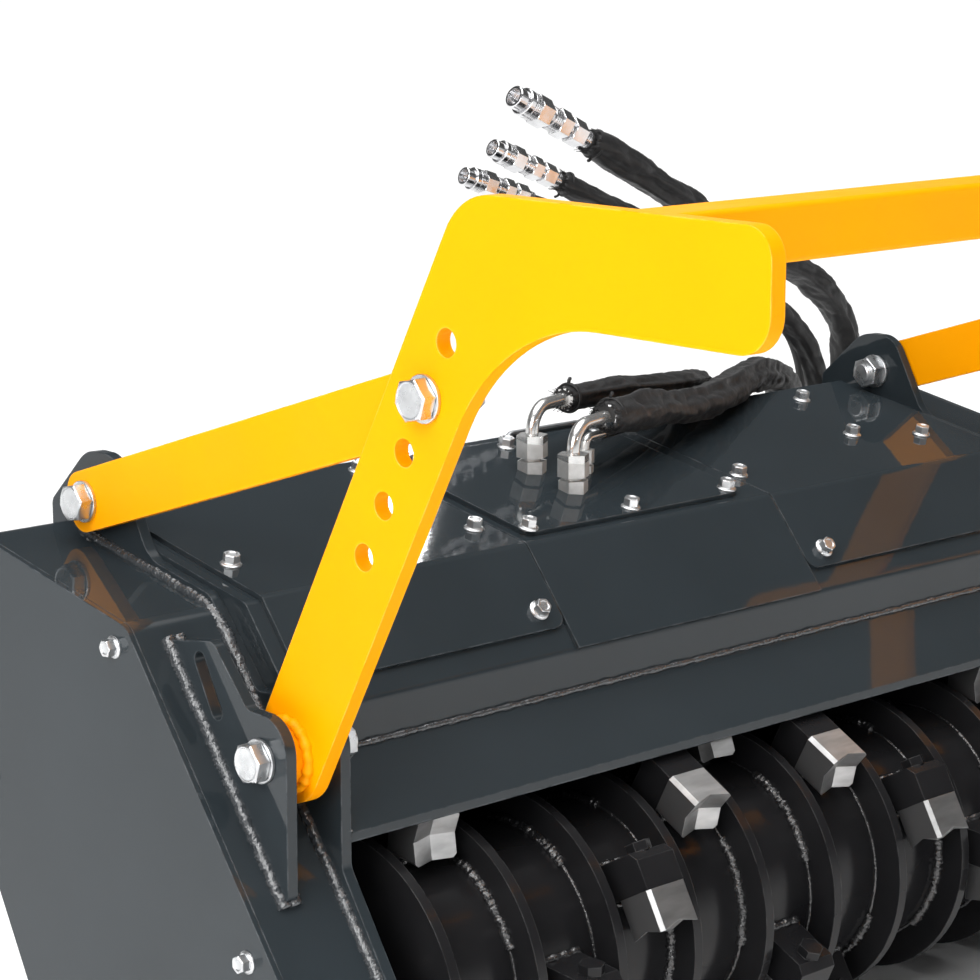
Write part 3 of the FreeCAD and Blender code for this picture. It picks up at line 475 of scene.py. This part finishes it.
def add_bead(shape, line, radius, closed=False, pitch=0.0045, sides=7, step=0.0022, rough=0.30):
    """A weld bead: a bar with ripples along it, and lumps of a few millimetres."""
    ripple, lump_reach, lumps_per_metre = 0.12, 0.003, 180
    line = resample(line, step, closed)
    rings = []
    for i, (p, (_, u, v)) in enumerate(zip(line, frames_along(line, closed))):
        s = i * step
        wave = ripple * math.sin(2 * math.pi * s / pitch)
        ring = []
        for a in even_angles(sides):
            out = u * math.cos(a) + v * math.sin(a)
            lump = rough * noise.noise((p + out * lump_reach) * lumps_per_metre)
            ring.append(p + out * radius * (1 + (wave + lump)))
        rings.append(ring)
    add_rings(shape, rings, closed)


def hexagon_reach(angle):
    """How far a hexagon reaches at an angle, as a share of its corners' reach."""
    sixth = math.pi / 3
    return math.cos(sixth / 2) / math.cos((angle + sixth / 2) % sixth - sixth / 2)


def add_turned(shape, where, normal, rows, turn=0.0, count=36):
    """Round and hexagonal sections along a direction, in millimetres: kind, radius to the corners, height.
    A soft section lies between a hexagon and a circle."""
    turned_by = Vector((0, 0, 1)).rotation_difference(normal) @ Quaternion((0, 0, 1), turn)
    reaches = {
        "round": lambda a: 1.0,
        "hex": hexagon_reach,
        "soft": lambda a: 0.6 * hexagon_reach(a) + 0.4 * 0.93,
    }
    rings = []
    for kind, radius, z in rows:
        ring = []
        for a in even_angles(count):
            reach = radius * reaches[kind](a)
            ring.append(where + turned_by @ Vector((reach * math.cos(a), reach * math.sin(a), z)) / 1000)
        rings.append(ring)
    add_rings(shape, rings)


def add_bolt(shape, where, normal, across=16.0, flange=23.0, height=9.0, turn=0.0):
    """A hexagon head on a round flange, with a shallow dish in its top."""
    corner = across / 2 / COS_30
    add_turned(shape, where, normal, [
        ("round", flange / 2, -0.5), ("round", flange / 2, 1.2), ("round", flange / 2 - 1.0, 1.8),
        ("round", corner * 1.02, 3.0), ("hex", corner, 3.0), ("hex", corner, height + 2.0),
        ("soft", corner * 0.93, height + 3.0), ("round", across * 0.36, height + 3.0),
        ("round", across * 0.30, height + 2.2), ("round", 0.4, height + 2.2),
    ], turn)


def add_large_bolt(name, node, at, x_in, x_out, side):
    """A through bolt of the push frame: chamfered head and nut, washers, and the thread's end."""
    y, z = at
    shape = ([], [])
    corner = BIG_FLATS / 2 / COS_30
    washer = [
        ("round", 21.4, 0.0), ("round", 22.0, 0.5), ("round", 22.0, 3.5), ("round", 21.4, 4.0),
        ("round", 17.4, 4.0),
    ]
    head = washer + [
        ("round", 17.4, 4.6), ("hex", corner, 4.6), ("hex", corner, 17.2), ("soft", corner * 0.95, 18.3),
        ("round", 17.2, 19.0), ("round", 16.2, 19.0), ("round", 15.4, 18.5), ("round", 0.4, 18.5),
    ]
    nut = washer + [
        ("soft", corner * 0.95, 4.2), ("hex", corner, 5.4), ("hex", corner, 21.6),
        ("soft", corner * 0.95, 22.7), ("round", 17.0, 23.0), ("round", 12.6, 23.0), ("round", 12.0, 22.6),
        ("round", 12.0, 28.0), ("round", 10.6, 29.0), ("round", 0.4, 29.0),
    ]
    shank = [("round", 11.8, 0.0), ("round", 11.8, x_out - x_in)]
    outwards = Vector((side, 0, 0))
    add_turned(shape, place(side * x_out, y, z), outwards, head, 0.21)
    add_turned(shape, place(side * x_in, y, z), -outwards, nut, 0.35)
    add_turned(shape, place(side * x_in, y, z), outwards, shank)
    bolt = add_piece(name, shape, ZINC, smooth=False)
    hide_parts(node)


def hood_top(x, y, above=0.0):
    z = BEND_Z + (y - BEND_Y) * math.tan(math.radians(TOP_SLOPE)) + above
    return place(x, y, z)


HOOD_NORMAL = Vector((0, -math.sin(math.radians(TOP_SLOPE)), math.cos(math.radians(TOP_SLOPE))))
FLANGE_NORMAL = Vector((0, -math.cos(math.radians(FRONT_SLOPE)), math.sin(math.radians(FRONT_SLOPE))))


def add_bolts():
    shape = ([], [])
    for x, y in PANEL_BOLTS:
        add_bolt(shape, hood_top(x, y), HOOD_NORMAL, turn=random.random())
    hatch_top = HATCH_T / math.cos(math.radians(TOP_SLOPE))
    for x, y in HATCH_BOLTS:
        add_bolt(shape, hood_top(x, y, hatch_top), HOOD_NORMAL, turn=random.random())
    for x, y, z in FLANGE_BOLTS:
        add_bolt(shape, place(x, y, z), FLANGE_NORMAL, turn=random.random())
    for side in (-1, 1):
        outwards = Vector((side, 0, 0))
        for y, z in COVER_BOLTS:
            add_bolt(shape, place(side * COVER_OUT, y, z), outwards, turn=random.random())
        for k in range(BEARING_BOLTS):
            a = math.radians(30 + 360 / BEARING_BOLTS * k)
            y, z = DRUM_Y + BEARING_CIRCLE * math.cos(a), DRUM_Z + BEARING_CIRCLE * math.sin(a)
            add_bolt(shape, place(side * BEARING_FACE, y, z), -outwards, 17.0, 22.0, 7.0)
    add_piece("flange_bolts", shape, ZINC, smooth=False)


def box_front(z):
    """The y of the drive box's sloped front edge at a height."""
    return BOX_BEND_Y - (BOX_BEND_Z - z) * math.tan(math.radians(BOX_SLOPE))


def add_welds():
    shape = ([], [])
    seam = [place(-SIDE_IN, 49, -27), place(SIDE_IN, 49, -27)]
    add_bead(shape, seam, 0.004, step=0.004)
    box_outline = [
        (396, 147), (190, 111), (178, 108), (165, 101), (155, 92), (box_front(80), 80),
        (box_front(-260), -260), (box_front(-296), -296), (-170, -322), (-178, -345), (-180, -372),
    ]
    deflector_end = [(60, -20), (50, -27), (-33, -82)]
    for side in (-1, 1):
        for x in (LUG_OUT, LUG_IN):
            lug = [place(side * x, box_front(z) - 1, z) for z in (90, -139)]
            add_bead(shape, lug, 0.0075)
        add_bead(shape, [place(side * SIDE_OUT, y, z) for y, z in box_outline], 0.0075)
        add_bead(shape, [place(side * SIDE_IN, y, z) for y, z in deflector_end], 0.005)
    add_piece("housing_welds", shape, WELD)


def add_yellow_welds():
    """The beads round the arms' pivot collars and beside the cross bar."""
    collar_radius = 33
    shape = ([], [])
    for side in (-1, 1):
        x = side * (ARM_OUT + 1)
        turns = [(math.cos(a), math.sin(a)) for a in even_angles(48)]
        collar = [place(x, collar_radius * c, collar_radius * d) for c, d in turns]
        add_bead(shape, collar, 0.0065, closed=True, pitch=0.012)
        for y in BAR_Y:
            add_bead(shape, [place(side * (ARM_IN - 0.5), y, z) for z in BAR_Z], 0.0035)
    add_piece("yellow_welds", shape, YELLOW_WELD)


def on_drum(x, out, along, angle):
    """A point on the drum: out from its axis, along its turn, at an angle up from the front."""
    a = math.radians(angle)
    y = -out * math.cos(a) + along * math.sin(a)
    z = out * math.sin(a) + along * math.cos(a)
    return place(x, DRUM_Y + y, DRUM_Z + z)


def add_disc_welds():
    """A thin bead runs round each face of a disc, with three broad stitches on it."""
    shape = ([], [])
    for i in range(DISC_COUNT):
        for face in (0, DISC_T):
            x = -DRUM_HALF + i * DISC_PITCH + face
            if (i == 0 and face == 0) or (i == DISC_COUNT - 1 and face):
                continue
            ring = [on_drum(x, DRUM_R + 0.2, 0, 5 * k) for k in range(72)]
            add_bead(shape, ring, 0.0026, closed=True, sides=5, step=0.006)
            first = STITCH_ANGLE + STITCH_DISC_STEP * i + STITCH_FACE_STEP * (face > 0)
            for k in range(TEETH_ROUND):
                middle = first + 360 / TEETH_ROUND * k
                sweep = [middle + STITCH_SWEEP * (t / 10 - 0.5) for t in range(11)]
                arc = [on_drum(x, DRUM_R + 1.0, 0, angle) for angle in sweep]
                add_bead(shape, arc, 0.0070, pitch=0.006, sides=9, step=0.0020, rough=0.45)
    add_piece("disc_welds", shape, DRUM_WELD, "rotor")


def add_holder_welds():
    """A bead runs round the foot of each tooth holder."""
    shape = ([], [])
    for i in range(DISC_COUNT - 1):
        x = -DRUM_HALF + DISC_T / 2 + (i + 0.5) * DISC_PITCH
        corners = [
            (x - HOLDER_HALF_WIDTH, HOLDER_FRONT), (x - HOLDER_HALF_WIDTH, HOLDER_BACK),
            (x + HOLDER_HALF_WIDTH, HOLDER_BACK), (x + HOLDER_HALF_WIDTH, HOLDER_FRONT),
        ]
        for k in range(TEETH_ROUND):
            angle = APEX_ANGLE - TOOTH_STEP * abs(i - APEX_GAP) + 360 * k / TEETH_ROUND
            loop = []
            for corner_x, along in corners:
                out = math.sqrt(DRUM_R ** 2 - along ** 2) + 0.5
                loop.append(on_drum(corner_x, out, along, angle))
            add_bead(shape, loop, 0.0055, closed=True, sides=6, step=0.0035)
    add_piece("holder_welds", shape, DRUM_WELD, "rotor")


def add_rear_pipe():
    """The thin pipe along the hood's rear edge, on two clips."""
    shape = ([], [])
    route = [place(*row) for row in PIPE_ROUTE]
    add_tube(shape, resample(route, 0.004), PIPE_RADIUS, even_angles(14))
    for x, y in PIPE_CLIPS:
        add_bolt(shape, hood_top(x, y), HOOD_NORMAL, 13.0, 18.0, 8.0)
    add_piece("rear_pipe", shape, DULL_ZINC)


def add_coupler(name, node, line, size):
    """A coupler in line with a hose's end: collar, hexagons, grooved and knurled rings, and an open bore."""
    rows = []
    at = 0.0
    chamfer = COUPLER_CHAMFER * size
    for kind, width, length in COUPLER:
        across, run = width * size / 2, length * size
        if kind == "hex":
            corner = across / COS_30
            rows += [("round", across * 0.96, at), ("hex", corner, at + chamfer),
                     ("hex", corner, at + run - chamfer), ("round", across * 0.96, at + run)]
        elif kind == "round":
            rows += [("round", across - chamfer, at), ("round", across, at + chamfer),
                     ("round", across, at + run - chamfer), ("round", across - chamfer, at + run)]
        else:
            count = round(run / (RIB_PITCH * size))
            for k in range(count):
                a, b = at + run * k / count, at + run * (k + RIB_SHARE) / count
                rows += [("round", across, a), ("round", across, b), ("round", across - chamfer, b),
                         ("round", across - chamfer, at + run * (k + 1) / count)]
        at += run
    bore = COUPLER[-1][1] * size / 2 - BORE_WALL * size
    floor = at - BORE_DEPTH * size
    rows += [("round", bore, at), ("round", bore, floor), ("round", 0.4, floor)]
    shape = ([], [])
    add_turned(shape, line[-1], (line[-1] - line[-2]).normalized(), rows, 0.3)
    body = add_piece(name, shape, CHROME, smooth=False)
    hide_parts(node)
    return body


def ridged(at):
    """Noise with sharp valleys, for creases in cloth: 0 in a valley, towards 1 away from it."""
    return min(1.0, 3.2 * abs(noise.noise(at)))


def crumple(s, angle, seed):
    """How far loose cloth stands off its even shape at a length s along it and an angle round it, as a
    share of its radius: a fold that winds along it, broad waves, and creases across it."""
    c, d = math.cos(angle), math.sin(angle)
    fold = 0.85 + 0.5 * math.sin(3.1 * s + seed)
    gap = (angle - fold + math.pi) % (2 * math.pi) - math.pi
    ridge = 0.20 * math.exp(-(gap / 0.15) ** 2) - 0.10 * math.exp(-((gap + 0.45) / 0.30) ** 2)
    wave = 0.16 * noise.noise(Vector((s * 16, c * 1.2 + seed, d * 1.2)))
    crease = -0.11 * (1.0 - ridged(Vector((s * 26, c * 1.5, d * 1.5 + seed))))
    return ridge + wave + crease


def add_sleeve(name, line, start, end, wide, high, seed):
    """A loose fabric sleeve over a hose, from one share of its length to another: flattened, with folds
    and creases, and with ragged ends that turn in round the hose."""
    step, count, turned_in, ragged_reach = 0.004, 44, 0.74, 0.005
    line = resample(line, step)
    first = round(start * (len(line) - 1))
    last = round(end * (len(line) - 1))
    frames = frames_along(line)
    rings = []
    for j in range(first, last + 1):
        p = line[j]
        t, u, v = frames[j]
        s = j * step
        at_end = min(j - first, last - j)
        slack = 1.0 - 0.22 * math.exp(-at_end / 3.5)
        loose = 1.0 - math.exp(-at_end / 8.0)
        broad = 1.0 + 0.14 * loose * noise.noise(Vector((s * 9, seed, 0)))
        tall = 1.0 + 0.16 * loose * noise.noise(Vector((s * 11, 0, seed)))
        ring = []
        for a in even_angles(count):
            c, d = math.cos(a), math.sin(a)
            out = u * c * wide * broad + v * d * high * tall
            small = -0.035 * (1.0 - ridged(Vector((s * 75 + c * 2, c * 3.0, d * 3.0 + seed))))
            ragged = 0.0
            if at_end == 0:
                ragged = ragged_reach * noise.noise(Vector((c * 5, d * 5, seed)))
            ring.append(p + out * slack * (1 + loose * crumple(s, a, seed) + small) + t * ragged)
        rings.append(ring)
    inner_first = [line[first] + (q - line[first]) * turned_in for q in rings[0]]
    inner_last = [line[last] + (q - line[last]) * turned_in for q in rings[-1]]
    rings = [inner_first] + rings + [inner_last]
    shape = ([], [])
    add_rings(shape, rings, capped=False)
    return [add_piece(name, shape, FABRIC), add_threads(name + "_threads", rings)]


def add_threads(name, rings):
    """Frayed threads at both ends of a sleeve."""
    shape = ([], [])
    for index, near in ((1, 2), (-2, -3)):
        t = (rings[index][0] - rings[near][0]).normalized()
        for _ in range(60):
            q = rings[index][random.randrange(len(rings[index]))]
            drift = Vector([random.uniform(-1, 1) for _ in range(3)]) * 0.004
            reach = t * random.uniform(0.001, 0.006)
            strand = [q - t * 0.004, q + reach * 0.4 + drift * 0.4, q + reach + drift]
            add_tube(shape, strand, 0.0004, (0, 2.1, 4.2))
    return add_piece(name, shape, FABRIC)


def add_ferrule(name, line, length, radius, mat):
    """A short collar on a hose's first stretch."""
    step = 0.003
    shape = ([], [])
    near = resample(line, step)[: round(length / step)]
    add_tube(shape, near, radius, even_angles(24))
    return add_piece(name, shape, mat)


def add_tie(name, line, share, radius):
    """A tie round a sleeve at a share of the hose's length, with a short loose end."""
    thick, section = 0.0022, (0.8, 2.4, 3.9, 5.5)
    line = resample(line, 0.005)
    j = round(share * (len(line) - 1))
    t, u, v = frames_along(line)[j]
    shape = ([], [])
    add_tube(shape, ring_round(line[j], u, v, radius, even_angles(40)), thick, section, closed=True)
    top = line[j] + v * radius
    tail = [top, top + v * 0.004 + t * 0.001, top + v * 0.007 + t * 0.004]
    add_tube(shape, tail, thick, section)
    return add_piece(name, shape, FABRIC)


def add_floor(half=60.0):
    mesh = bpy.data.meshes.new("floor")
    corners = [(-half, -half, 0), (half, -half, 0), (half, half, 0), (-half, half, 0)]
    mesh.from_pydata(corners, [], [(0, 1, 2, 3)])
    floor = bpy.data.objects.new("floor", mesh)
    mesh.materials.append(material("floor", (0.96, 0.96, 0.96), 0.9))
    bpy.context.collection.objects.link(floor)


def add_light(name, centre, aim, size, power):
    data = bpy.data.lights.new(name, "AREA")
    data.shape = "RECTANGLE"
    data.size, data.size_y = size
    data.energy = power
    light = bpy.data.objects.new(name, data)
    bpy.context.collection.objects.link(light)
    facing = (Vector(aim) - Vector(centre)).to_track_quat("-Z", "Y")
    light.matrix_world = Matrix.Translation(centre) @ facing.to_matrix().to_4x4()


# The studio's sky from straight down to straight up: share of the way, brightness
SKY = [(0.0, 0.25), (0.10, 0.16), (0.22, 0.03), (0.5, 0.02), (0.80, 0.06), (0.87, 0.85), (1.0, 0.95)]
SKY_STRENGTH = 3.8


def add_world():
    world = bpy.data.worlds.new("studio")
    bpy.context.scene.world = world
    world.use_nodes = True
    nodes, links = world.node_tree.nodes, world.node_tree.links
    back = nodes["Background"]
    back.inputs["Strength"].default_value = SKY_STRENGTH
    where = nodes.new("ShaderNodeTexCoord")
    split = nodes.new("ShaderNodeSeparateXYZ")
    ramp = nodes.new("ShaderNodeValToRGB")
    links.new(where.outputs["Generated"], split.inputs[0])
    links.new(split.outputs["Z"], ramp.inputs[0])
    links.new(ramp.outputs[0], back.inputs["Color"])
    stops = ramp.color_ramp.elements
    for stop, (position, level) in ((stops[0], SKY[0]), (stops[1], SKY[-1])):
        stop.position = position
        stop.color = (level, level, level, 1)
    for position, level in SKY[1:-1]:
        stops.new(position).color = (level, level, level, 1)


finish_nodes()
for obj in (front_hose, rear_hose, drain_hose):
    obj.data.materials.append(RUBBER)

front_with = add_sleeve("front_sleeve", front_line, 0.0, 0.998, wide=0.0250, high=0.0215, seed=1.3)
rear_with = add_sleeve("rear_sleeve", rear_line, 0.001, 0.998, wide=0.0190, high=0.0165, seed=4.1)
front_with.append(add_tie("front_tie", front_line, 0.991, 0.0190))
front_with.append(add_tie("front_port_tie", front_line, 0.006, 0.0200))
front_with.append(add_ferrule("front_ferrule", front_line, 0.007, 0.0150, CHROME))
front_with.append(add_coupler("front_coupler", "coupler_front", front_line, 1.0))
rear_with.append(add_tie("rear_tie", rear_line, 0.990, 0.0150))
rear_with.append(add_tie("rear_port_tie", rear_line, 0.008, 0.0165))
rear_with.append(add_ferrule("rear_ferrule", rear_line, 0.007, 0.0125, WHITE))
rear_with.append(add_coupler("rear_coupler", "coupler_rear", rear_line, SMALL_COUPLER))
drain_with = [add_coupler("drain_coupler", "coupler_drain", drain_line, SMALL_COUPLER)]

for side, word in ((-1, "left"), (1, "right")):
    add_large_bolt("pivot_screw_" + word, "pivot_bolt_" + word, PIVOT_BOLT, SIDE_IN, LUG_OUT, side)
    add_large_bolt("brace_screw_" + word, "brace_bolt_" + word, BRACE_BOLT, BRACE_IN, ARM_OUT, side)
    add_large_bolt("ear_screw_" + word, "ear_bolt_" + word, EAR_BOLT, SIDE_IN, ARM_IN, side)
add_bolts()
add_welds()
add_yellow_welds()
add_disc_welds()
add_holder_welds()
add_rear_pipe()

bpy.context.scene.view_settings.view_transform = "Standard"
add_world()
add_light("key", (-3.5, -1.0, 2.6), (0, 0, 0.5), (2.6, 2.6), 138)
for name, centre in (("spark_left", (-2.9, -2.6, 2.4)), ("spark_front", (0.4, -3.6, 2.2)),
                     ("spark_top", (0.2, -0.6, 4.2))):
    add_light(name, centre, (0, 0, 0.4), (0.22, 0.22), 9)
add_light("strip", (6.6, 7.2, 5.2), (-0.5, 0.3, 0.65), (0.25, 1.6), 40)
add_floor()
